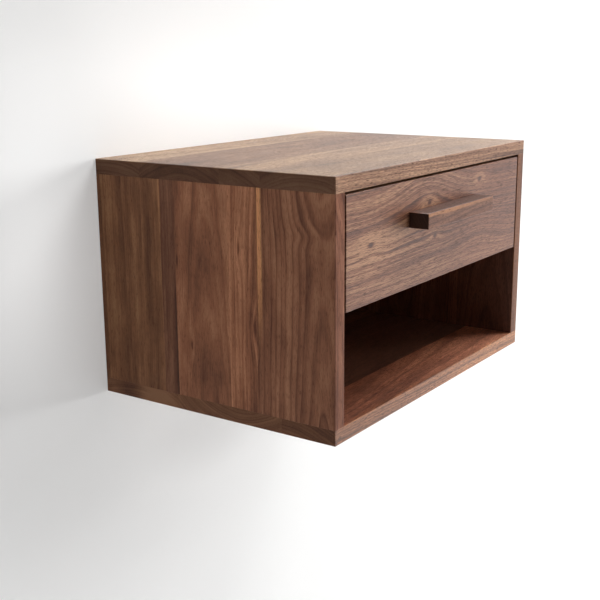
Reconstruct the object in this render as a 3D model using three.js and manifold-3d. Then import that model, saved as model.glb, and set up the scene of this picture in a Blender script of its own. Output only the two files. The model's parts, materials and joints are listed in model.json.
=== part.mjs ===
// A wall-hung walnut nightstand: a butt-jointed case that hangs on a French cleat, with one
// inset drawer on telescopic ball slides and an open cubby under it.
// Millimetres, +Z up, +Y into the wall. The origin is the middle of the wall cleat's back
// face, in the plane of the wall.
import * as THREE from "three";
import { mergeVertices } from "three/addons/utils/BufferGeometryUtils.js";
import Module from "manifold-3d";

const wasm = await Module();
wasm.setup();

// Case. Its boards are butted, with the top and bottom running over the ends of the sides
const caseWidth = 508;
const caseDepth = 356;
const caseHeight = 305;
const boardThickness = 19;
const outerEase = 1; // rounding of the case's outer edges
const openingEase = 0.6; // chamfer round the opening's front edges
const faceGap = 0.05; // between faces that are glued or screwed together

// Back panel, in grooves in the four case boards
const backThickness = 6;
const backGroove = 6;
const panelClearance = 0.25; // all round a panel in its groove

// French cleat, in the recess behind the back panel
const cleatRecess = 19;
const cleatThickness = 18;
const cleatBevel = Math.PI / 4;
const cleatSeat = 0.5; // upright, between the two bevels
const caseCleatHeight = 64;
const wallCleatHeight = 76;
const wallCleatEndGap = 15; // from each end of the wall cleat to the side boards
const wallHoleRadius = 2.75;
const wallSinkRadius = 5.5;
const wallSinkDepth = 3;
const wallHoleInset = 17; // from the wall cleat's ends to its outer holes
const wallHoleShares = [-1, -1 / 3, 1 / 3, 1]; // of the way from the middle to the outer holes

// Loose tenons in the case's corners
const tenonThickness = 6;
const tenonWidth = 20;
const tenonInSide = 24;
const tenonInPanel = 12;
const tenonClearance = 0.25;
const tenonInset = 60; // from the case's front and back to the outer tenons

// Drawer front and its bar handle
const frontThickness = 19;
const revealGap = 3;
const frontEase = 1;
const handleLength = 182;
const handleProjection = 27;
const handleHeight = 19.5;
const handleDrop = 47; // from the front's top edge to the handle's middle
const handleEase = 1;

// Drawer box
const boxWall = 12;
const boxLift = 14; // from the front's bottom edge up to the box
const boxDrop = 16; // from the front's top edge down to the box
const boxRearGap = 7; // from the box to the back panel
const bottomThickness = 6;
const bottomGroove = 6;
const bottomLift = 10; // from the box's bottom edge to the bottom panel
const tailCount = 4;
const pinWidth = 6; // between two tails, at their wide ends
const tailSlope = 1 / 6;
const tailGap = 0.15;

// Telescopic slides. Their sections are drawn in u, from the case side towards the drawer
// box, and v, up from the slide's middle
const slideThickness = 12.75;
const slideHeight = 45.5;
const slideTravel = 290;
const railSetback = 2; // from the drawer front to the rails
const railRearGap = 3; // from the rails' rear ends to the drawer box's
const railSteel = 1.2;
const bendRadius = 1.1; // to the steel's middle line
const ballRadius = 1.6;
const raceClearance = 0.05;
const middleWebAt = 3.6;
const innerFlangeAt = 15.9;
const raceTurn = (50 * Math.PI) / 180; // where the middle rail leaves one race for the other
const outerLip = (10 * Math.PI) / 180;
const middleLip = (290 * Math.PI) / 180;
const innerRace = { start: (330 * Math.PI) / 180, end: (262 * Math.PI) / 180 };

// Ball cages: the outer one runs between the outer and middle rails, the inner one between
// the middle and inner rails
const cageSteel = 0.5;
const outerCage = { webAt: 2.625, reach: 9.6 };
const innerCage = { webAt: 4.65, reach: 7 };
const cageSpare = 15; // from a cage's ends to its stops at full travel
const ballCount = 6; // in each row
const ballInset = 6; // from a cage's ends to its first and last balls
const stopHeight = 9;
const stopLength = 2.5;
const stopClearance = 0.25; // from a stop to the web that passes it

// Slots and screw holes in the rails' webs, as shares of the rail's length from its front
const slotLength = 26;
const slotHeight = 11;
const outerSlotShares = [0.27, 0.62, 0.8];
const middleSlotShares = [0.25, 0.5, 0.75];
const innerSlotShares = [0.36];
const outerScrewShares = [0.1, 0.44, 0.92];
const innerScrewShares = [0.12, 0.6];
const webHoleClearance = 0.3;

// Release lever, riveted to each inner rail
const leverShare = 0.82; // of the rail's length, from its front to the lever's pivot
const leverLift = 0.4; // from the rail's web to the lever
const leverThickness = 2.4;
const leverLength = 34;
const leverNeck = 3.4; // the arm's width at its boss
const leverBoss = 5;
const leverPad = { radius: 4.5, ribs: 3, ribWidth: 0.8, ribHeight: 0.6 };
const rivetRadius = 2;
const rivetClearance = 0.15;
const rivetHead = { radius: 3.2, height: 0.5 };

// Screws, with the length under the head
const railScrew = { headRadius: 3.6, headHeight: 0.8, shankRadius: 1.75, length: 14 };
const boxScrew = { headRadius: 3.6, headHeight: 1.5, shankRadius: 1.75, length: 10 };
const frontScrew = { headRadius: 4.5, headHeight: 2, shankRadius: 2, length: 25 };
const handleScrew = { headRadius: 4.5, headHeight: 2.4, shankRadius: 2, length: 44 };
const cleatScrew = { headRadius: 4, headHeight: 1.8, shankRadius: 1.9, length: 18 };
const screwClearance = 0.15;
const screwPoint = 3;
const driveArm = 2.2;
const driveWidth = 0.9;
const driveDepthShare = 0.5; // of the head's height
const headTopShare = 0.7; // of the head's radius
const frontScrewEndInset = 62; // from the drawer front's ends
const frontScrewInset = 24; // from the box front's top and bottom edges
const handleScrewInset = 27; // from the handle's ends
const cleatScrewShares = [-0.42, -0.15, 0.15, 0.42]; // of the case cleat's length
const cleatScrewDrop = 30; // from the case cleat's top edge

const overrun = 1; // how far a cutter runs past what it cuts
const weldDistance = 1e-4; // within which vertices are one
const holeSides = 10;
const screwSides = 8;
const ballSides = 6;
const ballRings = 4;
const slotSteps = 3;
const easeSteps = 1;
const arcStep = Math.PI / 12;

// Sizes and places that follow from those above. Heights are over the case's underside
const interiorWidth = caseWidth - 2 * boardThickness;
const interiorTop = caseHeight - boardThickness;
const backPanelFront = -cleatRecess - backThickness;
const frontHeight = (interiorTop - boardThickness - revealGap) / 2;
const frontWidth = interiorWidth - 2 * revealGap;
const frontTop = interiorTop - revealGap;
const frontBottom = frontTop - frontHeight;
const frontBack = -caseDepth + frontThickness;
const handleAt = frontTop - handleDrop;

const boxFront = frontBack + faceGap;
const boxBack = backPanelFront - boxRearGap;
const boxHalfWidth = interiorWidth / 2 - slideThickness;
const boxBottom = frontBottom + boxLift;
const boxTop = frontTop - boxDrop;
const boxHeight = boxTop - boxBottom;

const slideAt = (boxBottom + boxTop) / 2;
const railFront = frontBack + railSetback;
const railLength = boxBack - railRearGap - railFront;
const cageLength = railLength - slideTravel / 2 - 2 * cageSpare;
const cageFront = railFront + (railLength - cageLength) / 2;

const raceRadius = ballRadius + raceClearance + railSteel / 2;
const outerFlangeAt = slideHeight / 2 - railSteel / 2;
const innerBallU = middleWebAt + raceRadius;
const outerBallU = innerBallU + 2 * raceRadius * Math.cos(raceTurn);
const outerBallV = outerFlangeAt - raceRadius;
const innerBallV = outerBallV - 2 * raceRadius * Math.sin(raceTurn);
const outerWebAt = railSteel / 2 + faceGap;
const innerWebAt = slideThickness - railSteel / 2 - faceGap;

const caseCleatTop = interiorTop - faceGap;
const caseCleatRear = -cleatRecess + faceGap + cleatThickness;
const caseCleatPoint = caseCleatTop - caseCleatHeight;
const cleatRise = cleatThickness * Math.tan(cleatBevel);
const wallCleatLow = caseCleatPoint - cleatSeat + caseCleatRear * Math.tan(cleatBevel);
const wallCleatBottom = wallCleatLow + cleatRise - wallCleatHeight;
const hangHeight = (wallCleatLow + wallCleatBottom) / 2;
const wallCleatEnd = interiorWidth / 2 - wallCleatEndGap;

// Finishes
const finish = (color, roughness, metalness = 0) =>
  new THREE.MeshStandardMaterial({ color, roughness, metalness });
const walnut = finish(0x6e4a37, 0.5);
const walnutPly = finish(0x64422f, 0.55);
const maple = finish(0xd9bd93, 0.5);
const birchPly = finish(0xdcc7a0, 0.6);
const beech = finish(0xc79f74, 0.6);
const zincSteel = finish(0xb4b7ba, 0.35, 0.9);
const cageMetal = finish(0x8d8f92, 0.4, 0.9);
const screwSteel = finish(0xc9b98a, 0.35, 0.9);
const leverPlastic = finish(0x1b1c1e, 0.5);

// A closed geometry as a solid that can be joined and cut
function solid(geometry) {
  const bare = geometry.clone();
  bare.deleteAttribute("normal");
  bare.deleteAttribute("uv");
  const merged = mergeVertices(bare, weldDistance);
  const mesh = new wasm.Mesh({
    numProp: 3,
    vertProperties: merged.attributes.position.array,
    triVerts: new Uint32Array(merged.index.array),
  });
  return new wasm.Manifold(mesh);
}

// A solid back as a flat-shaded geometry
function geometryOf(body) {
  const mesh = body.getMesh();
  const indexed = new THREE.BufferGeometry();
  indexed.setAttribute("position", new THREE.BufferAttribute(mesh.vertProperties, 3));
  indexed.setIndex(new THREE.BufferAttribute(mesh.triVerts, 1));
  const flat = indexed.toNonIndexed();
  flat.computeVertexNormals();
  return flat;
}

// The first shape with the others joined to it, cut from it, or kept in common
const combine = (how, base, shapes) =>
  geometryOf(shapes.reduce((body, shape) => body[how](solid(shape)), solid(base)));
const join = (base, ...shapes) => combine("add", base, shapes);
const cut = (base, ...shapes) => combine("subtract", base, shapes);
const common = (base, ...shapes) => combine("intersect", base, shapes);

// A named mesh in its group, at a place and turned about Z
function piece(group, name, geometry, material, place = [0, 0, 0], turn = 0) {
  const mesh = new THREE.Mesh(geometry, material);
  mesh.name = name;
  mesh.position.set(...place);
  mesh.rotation.z = turn;
  group.add(mesh);
}

// A box between two corners, grown on every side when it cuts the room that a piece needs
function block(low, high, growth = 0) {
  const size = high.map((end, axis) => end - low[axis] + 2 * growth);
  const middle = high.map((end, axis) => (end + low[axis]) / 2);
  return new THREE.BoxGeometry(...size).translate(...middle);
}

// An outline run along Z from z 0. Its arcs take as many steps as it says
const extrude = (outline, depth, curveSegments = slotSteps) =>
  new THREE.ExtrudeGeometry(outline, { depth, bevelEnabled: false, curveSegments });

// An outline in X and Z, run along Y between two places
const alongY = (outline, from, to, steps) =>
  extrude(outline, to - from, steps).rotateX(Math.PI / 2).translate(0, to, 0);

// An outline in Y and Z, run along X between two places
const ontoYZ = new THREE.Matrix4().makeBasis(
  new THREE.Vector3(0, 1, 0),
  new THREE.Vector3(0, 0, 1),
  new THREE.Vector3(1, 0, 0),
);
const alongX = (outline, from, to, steps) =>
  extrude(outline, to - from, steps).applyMatrix4(ontoYZ).translate(from, 0, 0);

// A rectangle about its middle with its corners rounded
function easedRectangle(width, height, ease) {
  const right = width / 2 - ease;
  const top = height / 2 - ease;
  const outline = new THREE.Shape();
  outline.absarc(right, top, ease, 0, Math.PI / 2);
  outline.absarc(-right, top, ease, Math.PI / 2, Math.PI);
  outline.absarc(-right, -top, ease, Math.PI, 1.5 * Math.PI);
  outline.absarc(right, -top, ease, 1.5 * Math.PI, 2 * Math.PI);
  return outline;
}

// A block about its middle with all its edges rounded
const easedBlock = (width, depth, height, ease) =>
  common(
    extrude(easedRectangle(width, depth, ease), height, easeSteps).translate(0, 0, -height / 2),
    alongY(easedRectangle(width, height, ease), -depth / 2, depth / 2, easeSteps),
    alongX(easedRectangle(depth, height, ease), -width / 2, width / 2, easeSteps),
  );

// A round bar along X or Y, from the origin, or a cone where its end has another radius
function rod(axis, radius, length, endRadius = radius) {
  const geometry = new THREE.CylinderGeometry(endRadius, radius, length, holeSides);
  geometry.translate(0, length / 2, 0);
  return axis === "x" ? geometry.rotateZ(-Math.PI / 2) : geometry;
}

// An outline with half-round ends, as long as it says along its first axis
function slotOutline(length, width) {
  const reach = (length - width) / 2;
  const outline = new THREE.Shape();
  outline.absarc(reach, 0, width / 2, -Math.PI / 2, Math.PI / 2);
  outline.absarc(-reach, 0, width / 2, Math.PI / 2, 1.5 * Math.PI);
  return outline;
}

// A closed outline through corner points
const polygon = (points) =>
  new THREE.Shape(points.map(([x, y]) => new THREE.Vector2(x, y)));

// The outline of a sheet of one thickness that follows a middle line
function sheetOutline(line, thickness) {
  const normals = line.slice(1).map((point, i) => {
    const along = point.clone().sub(line[i]).normalize();
    return new THREE.Vector2(-along.y, along.x);
  });
  const offset = (sign) =>
    line.map((point, i) => {
      const before = normals[Math.max(i - 1, 0)];
      const after = normals[Math.min(i, normals.length - 1)];
      const mitre = before.clone().add(after).divideScalar(1 + before.dot(after));
      return point.clone().addScaledVector(mitre, (sign * thickness) / 2);
    });
  return new THREE.Shape([...offset(1), ...offset(-1).reverse()]);
}

// Points of an arc about a centre, ends included
function arcPoints(u, v, radius, start, end) {
  const steps = Math.max(1, Math.round(Math.abs(end - start) / arcStep));
  return Array.from({ length: steps + 1 }, (_, i) => {
    const angle = start + ((end - start) * i) / steps;
    return new THREE.Vector2(u + radius * Math.cos(angle), v + radius * Math.sin(angle));
  });
}

// A screw along Y: its head before y 0 and its shank behind it
function screw({ headRadius, headHeight, shankRadius, length }) {
  const profile = [
    [0, -headHeight],
    [headRadius * headTopShare, -headHeight],
    [headRadius, -headHeight / 2],
    [headRadius, 0],
    [shankRadius, 0],
    [shankRadius, length - screwPoint],
    [0, length],
  ].map(([radius, along]) => new THREE.Vector2(radius, along));
  const low = -headHeight - overrun;
  const high = -headHeight + headHeight * driveDepthShare;
  const arm = (x, z) => block([-x / 2, low, -z / 2], [x / 2, high, z / 2]);
  const body = new THREE.LatheGeometry(profile, screwSides);
  return cut(body, arm(2 * driveArm, driveWidth), arm(driveWidth, 2 * driveArm));
}

// The hole for a screw's shank, turned and placed as the screw is
function screwHole({ shankRadius, length }, place, turn = 0) {
  const drill = rod("y", shankRadius + screwClearance, length + 2 * overrun);
  return drill.translate(0, -overrun, 0).rotateZ(turn).translate(...place);
}

// Places on the two slides. Side is -1 for the left one and 1 for the right one
const sideName = (side) => (side < 0 ? "left" : "right");
const acrossAt = (side, u) => side * (interiorWidth / 2 - u);
const railAt = (share) => railFront + share * railLength;

// Where a slide's screws go into the case, and into the drawer box
const railScrewPlaces = (side) =>
  outerScrewShares.map((share) => ({
    place: [acrossAt(side, outerWebAt + railSteel / 2 + faceGap), railAt(share), slideAt],
    turn: (-side * Math.PI) / 2,
  }));
const boxScrewPlaces = (side) =>
  innerScrewShares.map((share) => ({
    place: [acrossAt(side, innerWebAt - railSteel / 2 - faceGap), railAt(share), slideAt],
    turn: (side * Math.PI) / 2,
  }));

// Case

const caseEnvelope = easedBlock(caseWidth, caseDepth, caseHeight, outerEase).translate(
  0,
  -caseDepth / 2,
  caseHeight / 2,
);

// What the opening's front edges lose
const flareHalfWidth = interiorWidth / 2 + openingEase;
const flareHalfHeight = (interiorTop - boardThickness) / 2 + openingEase;
const openingFlare = new THREE.ExtrudeGeometry(
  polygon([
    [-flareHalfWidth, -flareHalfHeight],
    [flareHalfWidth, -flareHalfHeight],
    [flareHalfWidth, flareHalfHeight],
    [-flareHalfWidth, flareHalfHeight],
  ]),
  {
    depth: overrun,
    bevelThickness: openingEase,
    bevelSize: openingEase,
    bevelOffset: -openingEase,
    bevelSegments: 1,
  },
)
  .rotateX(Math.PI / 2)
  .translate(0, -caseDepth, caseHeight / 2);

const backPanelLow = [
  -interiorWidth / 2 - backGroove + panelClearance,
  backPanelFront,
  boardThickness - backGroove + panelClearance,
];
const backPanelHigh = [-backPanelLow[0], -cleatRecess, interiorTop + backGroove - panelClearance];
const backPanelRoom = block(backPanelLow, backPanelHigh, panelClearance);

// A loose tenon, upright, with its panel's seam at z 0 and the side board below it
function tenon(growth = 0) {
  const outline = slotOutline(tenonWidth + 2 * growth, tenonThickness + 2 * growth);
  const upright = extrude(outline, tenonInSide + tenonInPanel + 2 * growth);
  return upright.rotateZ(Math.PI / 2).translate(0, 0, -tenonInSide - growth);
}

const tenonStations = {
  front: -caseDepth + tenonInset,
  middle: -caseDepth / 2,
  rear: -tenonInset,
};
const tenonPlaces = ["left", "right"].flatMap((side) =>
  ["lower", "upper"].flatMap((level) =>
    Object.entries(tenonStations).map(([station, y]) => ({
      name: `${side}_${level}_${station}_tenon`,
      x: ((side === "left" ? -1 : 1) * (caseWidth - boardThickness)) / 2,
      y,
      z: level === "upper" ? interiorTop : boardThickness,
      flip: level === "upper" ? 0 : Math.PI,
    })),
  ),
);
const placedTenon = ({ x, y, z, flip }, growth) => tenon(growth).rotateX(flip).translate(x, y, z);
const mortises = tenonPlaces.map((place) => placedTenon(place, tenonClearance));

function caseBoard(low, high, ...cutters) {
  const board = common(block(low, high), caseEnvelope);
  return cut(board, openingFlare, backPanelRoom, ...mortises, ...cutters);
}

const cleatScrewPlaces = cleatScrewShares.map((share) => [
  share * interiorWidth,
  backPanelFront - faceGap,
  caseCleatTop - cleatScrewDrop,
]);

function caseCleat() {
  const outline = polygon([
    [caseCleatRear, caseCleatPoint],
    [caseCleatRear, caseCleatTop],
    [caseCleatRear - cleatThickness, caseCleatTop],
    [caseCleatRear - cleatThickness, caseCleatPoint + cleatRise],
  ]);
  const end = interiorWidth / 2 - faceGap;
  const holes = cleatScrewPlaces.map((place) => screwHole(cleatScrew, place));
  return cut(alongX(outline, -end, end), ...holes);
}

function wallCleat() {
  const outline = polygon([
    [0, wallCleatBottom],
    [0, wallCleatLow],
    [-cleatThickness, wallCleatLow + cleatRise],
    [-cleatThickness, wallCleatBottom],
  ]);
  const middle = (wallCleatBottom + wallCleatLow) / 2;
  const drills = [
    rod("y", wallHoleRadius, cleatThickness + 2 * overrun),
    rod("y", wallSinkRadius + overrun, wallSinkDepth + overrun, wallHoleRadius),
  ];
  const holes = wallHoleShares.flatMap((share) => {
    const x = share * (wallCleatEnd - wallHoleInset);
    return drills.map((drill) => drill.clone().translate(x, -cleatThickness - overrun, middle));
  });
  return cut(alongX(outline, -wallCleatEnd, wallCleatEnd), ...holes);
}

function addCase(group) {
  const sideBottom = boardThickness + faceGap;
  const sideTop = interiorTop - faceGap;
  const half = caseWidth / 2;
  const panels = { top: [interiorTop, caseHeight], bottom: [0, boardThickness] };
  for (const [level, [low, high]] of Object.entries(panels)) {
    const board = caseBoard([-half, -caseDepth, low], [half, 0, high]);
    piece(group, `${level}_panel`, board, walnut);
  }
  for (const side of [-1, 1]) {
    const [low, high] = [side * half, (side * interiorWidth) / 2].sort((a, b) => a - b);
    const holes = railScrewPlaces(side).map(({ place, turn }) => screwHole(railScrew, place, turn));
    const board = caseBoard([low, -caseDepth, sideBottom], [high, 0, sideTop], ...holes);
    piece(group, `${sideName(side)}_side_panel`, board, walnut);
  }
  for (const place of tenonPlaces) {
    piece(group, place.name, placedTenon(place), beech);
  }

  const panelHoles = cleatScrewPlaces.map((place) => screwHole(cleatScrew, place));
  piece(group, "back_panel", cut(block(backPanelLow, backPanelHigh), ...panelHoles), walnutPly);
  piece(group, "case_cleat", caseCleat(), birchPly);
  piece(group, "wall_cleat", wallCleat(), birchPly);
  cleatScrewPlaces.forEach((place, i) => {
    piece(group, `cleat_screw_${i + 1}`, screw(cleatScrew), screwSteel, place);
  });
}

// Slides

// A section with its upper half given as points in u and v, and its lower half mirrored
function sectionOutline(side, upper, thickness) {
  const lower = upper.map(({ x, y }) => new THREE.Vector2(x, -y)).reverse();
  const line = [...lower, ...upper].map(
    ({ x, y }) => new THREE.Vector2(acrossAt(side, x), slideAt + y),
  );
  return sheetOutline(line, thickness);
}

function rail(side, upper, webAt, slotShares, screwShares = [], { shankRadius } = {}) {
  const outline = sectionOutline(side, upper, railSteel);
  const from = acrossAt(side, webAt) - railSteel;
  const slots = slotShares.map((share) =>
    alongX(slotOutline(slotLength, slotHeight), from, from + 2 * railSteel).translate(
      0,
      railAt(share),
      slideAt,
    ),
  );
  const holes = screwShares.map((share) =>
    rod("x", shankRadius + webHoleClearance, 2 * railSteel).translate(from, railAt(share), slideAt),
  );
  return cut(alongY(outline, railFront, railFront + railLength), ...slots, ...holes);
}

// The stops for a ball cage, at both ends of the rail that it runs in
function cageStops(side, webAt) {
  const face = webAt + railSteel / 2;
  const reach = middleWebAt - outerWebAt - railSteel - stopClearance;
  const ends = [acrossAt(side, face - railSteel / 2), acrossAt(side, face + reach)];
  const [low, high] = ends.sort((a, b) => a - b);
  return [railFront, railFront + railLength - stopLength].map((y) =>
    block([low, y, slideAt - stopHeight / 2], [high, y + stopLength, slideAt + stopHeight / 2]),
  );
}

function outerRail(side) {
  const bend = [outerWebAt + bendRadius, outerFlangeAt - bendRadius];
  const upper = [
    ...arcPoints(...bend, bendRadius, Math.PI, Math.PI / 2),
    ...arcPoints(outerBallU, outerBallV, raceRadius, Math.PI / 2, outerLip),
  ];
  const body = rail(side, upper, outerWebAt, outerSlotShares, outerScrewShares, railScrew);
  return join(body, ...cageStops(side, outerWebAt));
}

function middleRail(side) {
  const upper = [
    ...arcPoints(innerBallU, innerBallV, raceRadius, Math.PI, raceTurn),
    ...arcPoints(outerBallU, outerBallV, raceRadius, Math.PI + raceTurn, middleLip).slice(1),
  ];
  const body = rail(side, upper, middleWebAt, middleSlotShares);
  return join(body, ...cageStops(side, middleWebAt));
}

const rivetBase = innerWebAt - railSteel / 2;
const rivetLength = leverLift + leverThickness + rivetClearance;

function innerRail(side) {
  const bend = [innerWebAt - bendRadius, innerFlangeAt - bendRadius];
  const upper = [
    ...arcPoints(...bend, bendRadius, 0, Math.PI / 2),
    ...arcPoints(innerBallU, innerBallV, raceRadius, innerRace.start, innerRace.end),
  ];
  const body = rail(side, upper, innerWebAt, innerSlotShares, innerScrewShares, boxScrew);
  const shapes = [
    rod("x", rivetRadius, rivetLength + railSteel / 2),
    rod("x", rivetHead.radius, rivetHead.height).translate(rivetLength + railSteel / 2, 0, 0),
  ];
  const rivet = shapes.map((shape) =>
    shape
      .rotateZ(side < 0 ? Math.PI : 0)
      .translate(acrossAt(side, innerWebAt), railAt(leverShare), slideAt),
  );
  return join(body, ...rivet);
}

function ballCage(side, { webAt, reach }, ballU, ballV) {
  const corners = [new THREE.Vector2(webAt, ballV), new THREE.Vector2(reach, ballV)];
  const outline = sectionOutline(side, corners, cageSteel);
  const pitch = (cageLength - 2 * ballInset) / (ballCount - 1);
  const balls = [-ballV, ballV].flatMap((v) =>
    Array.from({ length: ballCount }, (_, i) =>
      new THREE.SphereGeometry(ballRadius, ballSides, ballRings).translate(
        acrossAt(side, ballU),
        cageFront + ballInset + i * pitch,
        slideAt + v,
      ),
    ),
  );
  return join(alongY(outline, cageFront, cageFront + cageLength), ...balls);
}

function releaseLever(side) {
  const near = acrossAt(side, rivetBase - leverLift);
  const far = acrossAt(side, rivetBase - leverLift - leverThickness);
  const [low, high] = [near, far].sort((a, b) => a - b);
  const disc = (radius, growth = 0) =>
    rod("x", radius, high - low + 2 * growth).translate(low - growth, 0, 0);
  const arm = polygon([
    [0, -leverNeck / 2],
    [0, leverNeck / 2],
    [-leverLength, leverPad.radius],
    [-leverLength, -leverPad.radius],
  ]);
  const ribEnds = [(low + high) / 2, far + side * leverPad.ribHeight].sort((a, b) => a - b);
  const ribs = Array.from({ length: leverPad.ribs }, (_, i) => {
    const y = -leverLength + (i - (leverPad.ribs - 1) / 2) * 2 * leverPad.ribWidth;
    const half = leverPad.ribWidth / 2;
    const reach = leverPad.radius / 2;
    return block([ribEnds[0], y - half, -reach], [ribEnds[1], y + half, reach]);
  });
  const pad = disc(leverPad.radius).translate(0, -leverLength, 0);
  const lever = join(disc(leverBoss), alongX(arm, low, high), pad, ...ribs);
  return cut(lever, disc(rivetRadius + rivetClearance, overrun));
}

function addSlide(group, side) {
  const name = sideName(side);
  piece(group, `${name}_outer_rail`, outerRail(side), zincSteel);
  piece(group, `${name}_middle_rail`, middleRail(side), zincSteel);
  piece(group, `${name}_inner_rail`, innerRail(side), zincSteel);
  const outerBalls = ballCage(side, outerCage, outerBallU, outerBallV);
  const innerBalls = ballCage(side, innerCage, innerBallU, innerBallV);
  piece(group, `${name}_outer_ball_cage`, outerBalls, cageMetal);
  piece(group, `${name}_inner_ball_cage`, innerBalls, cageMetal);
  const pivot = [0, railAt(leverShare), slideAt];
  piece(group, `${name}_release_lever`, releaseLever(side), leverPlastic, pivot);
  railScrewPlaces(side).forEach(({ place, turn }, i) => {
    piece(group, `${name}_rail_screw_${i + 1}`, screw(railScrew), screwSteel, place, turn);
  });
  boxScrewPlaces(side).forEach(({ place, turn }, i) => {
    piece(group, `${name}_box_screw_${i + 1}`, screw(boxScrew), screwSteel, place, turn);
  });
}

// Drawer

const boxInside = boxHalfWidth - boxWall;
const boxFrontInside = boxFront + boxWall;
const boxBackInside = boxBack - boxWall;
const bottomReach = bottomGroove - panelClearance;
const bottomLow = [
  -boxInside - bottomReach,
  boxFrontInside - bottomReach,
  boxBottom + bottomLift,
];
const bottomHigh = [
  boxInside + bottomReach,
  boxBackInside + bottomReach,
  boxBottom + bottomLift + bottomThickness,
];
const bottomRoom = block(bottomLow, bottomHigh, panelClearance);

const innerFace = boxFrontInside + faceGap;
const frontScrewPlaces = [-1, 1].flatMap((side) =>
  [boxBottom + frontScrewInset, boxTop - frontScrewInset].map((z) => [
    side * (frontWidth / 2 - frontScrewEndInset),
    innerFace,
    z,
  ]),
);
const handleScrewPlaces = [-1, 1].map((side) => [
  side * (handleLength / 2 - handleScrewInset),
  innerFace,
  handleAt,
]);
const drawerHoles = [
  ...frontScrewPlaces.map((place) => screwHole(frontScrew, place, Math.PI)),
  ...handleScrewPlaces.map((place) => screwHole(handleScrew, place, Math.PI)),
];

// Dovetails: the tails are on the box's sides. An end is -1 at the front and 1 at the back
function tails(side, end, growth = 0) {
  const pitch = boxHeight / tailCount;
  const tip = end < 0 ? boxFront - growth : boxBack + growth;
  const root = (end < 0 ? boxFrontInside : boxBackInside) - end * overrun;
  const wide = (pitch - pinWidth) / 2 + growth;
  const narrow = wide - Math.abs(tip - root) * tailSlope;
  const ends = [side * boxHalfWidth, side * boxInside];
  const [low, high] = ends.sort((a, b) => a - b);
  return Array.from({ length: tailCount }, (_, i) => {
    const z = boxBottom + (i + 0.5) * pitch;
    const outline = polygon([
      [tip, z - wide],
      [tip, z + wide],
      [root, z + narrow],
      [root, z - narrow],
    ]);
    return alongX(outline, low - growth, high + growth);
  });
}

function boxSide(side) {
  const ends = [side * boxInside, side * boxHalfWidth];
  const [low, high] = ends.sort((a, b) => a - b);
  const board = block(
    [low, boxFrontInside + tailGap, boxBottom],
    [high, boxBackInside - tailGap, boxTop],
  );
  const holes = boxScrewPlaces(side).map(({ place, turn }) => screwHole(boxScrew, place, turn));
  return cut(join(board, ...tails(side, -1), ...tails(side, 1)), bottomRoom, ...holes);
}

function boxEnd(end) {
  const [low, high] = end < 0 ? [boxFront, boxFrontInside] : [boxBackInside, boxBack];
  const board = block([-boxHalfWidth, low, boxBottom], [boxHalfWidth, high, boxTop]);
  const sockets = [-1, 1].flatMap((side) => tails(side, end, tailGap));
  return cut(board, bottomRoom, ...sockets, ...(end < 0 ? drawerHoles : []));
}

function addDrawer(group) {
  const front = easedBlock(frontWidth, frontThickness, frontHeight, frontEase);
  front.translate(0, frontBack - frontThickness / 2, frontBottom + frontHeight / 2);
  piece(group, "drawer_front", cut(front, ...drawerHoles), walnut);
  const handle = easedBlock(handleLength, handleProjection, handleHeight, handleEase);
  handle.translate(0, -caseDepth - faceGap - handleProjection / 2, handleAt);
  piece(group, "bar_handle", cut(handle, ...drawerHoles), walnut);

  piece(group, "drawer_box_front", boxEnd(-1), maple);
  piece(group, "drawer_box_back", boxEnd(1), maple);
  piece(group, "drawer_box_left", boxSide(-1), maple);
  piece(group, "drawer_box_right", boxSide(1), maple);
  piece(group, "drawer_bottom", block(bottomLow, bottomHigh), birchPly);

  frontScrewPlaces.forEach((place, i) => {
    piece(group, `front_screw_${i + 1}`, screw(frontScrew), screwSteel, place, Math.PI);
  });
  handleScrewPlaces.forEach((place, i) => {
    piece(group, `handle_screw_${i + 1}`, screw(handleScrew), screwSteel, place, Math.PI);
  });
}

const group = new THREE.Group();
group.position.z = -hangHeight;
addCase(group);
addDrawer(group);
for (const side of [-1, 1]) addSlide(group, side);

export default group;
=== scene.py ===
import json
from math import radians

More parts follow.
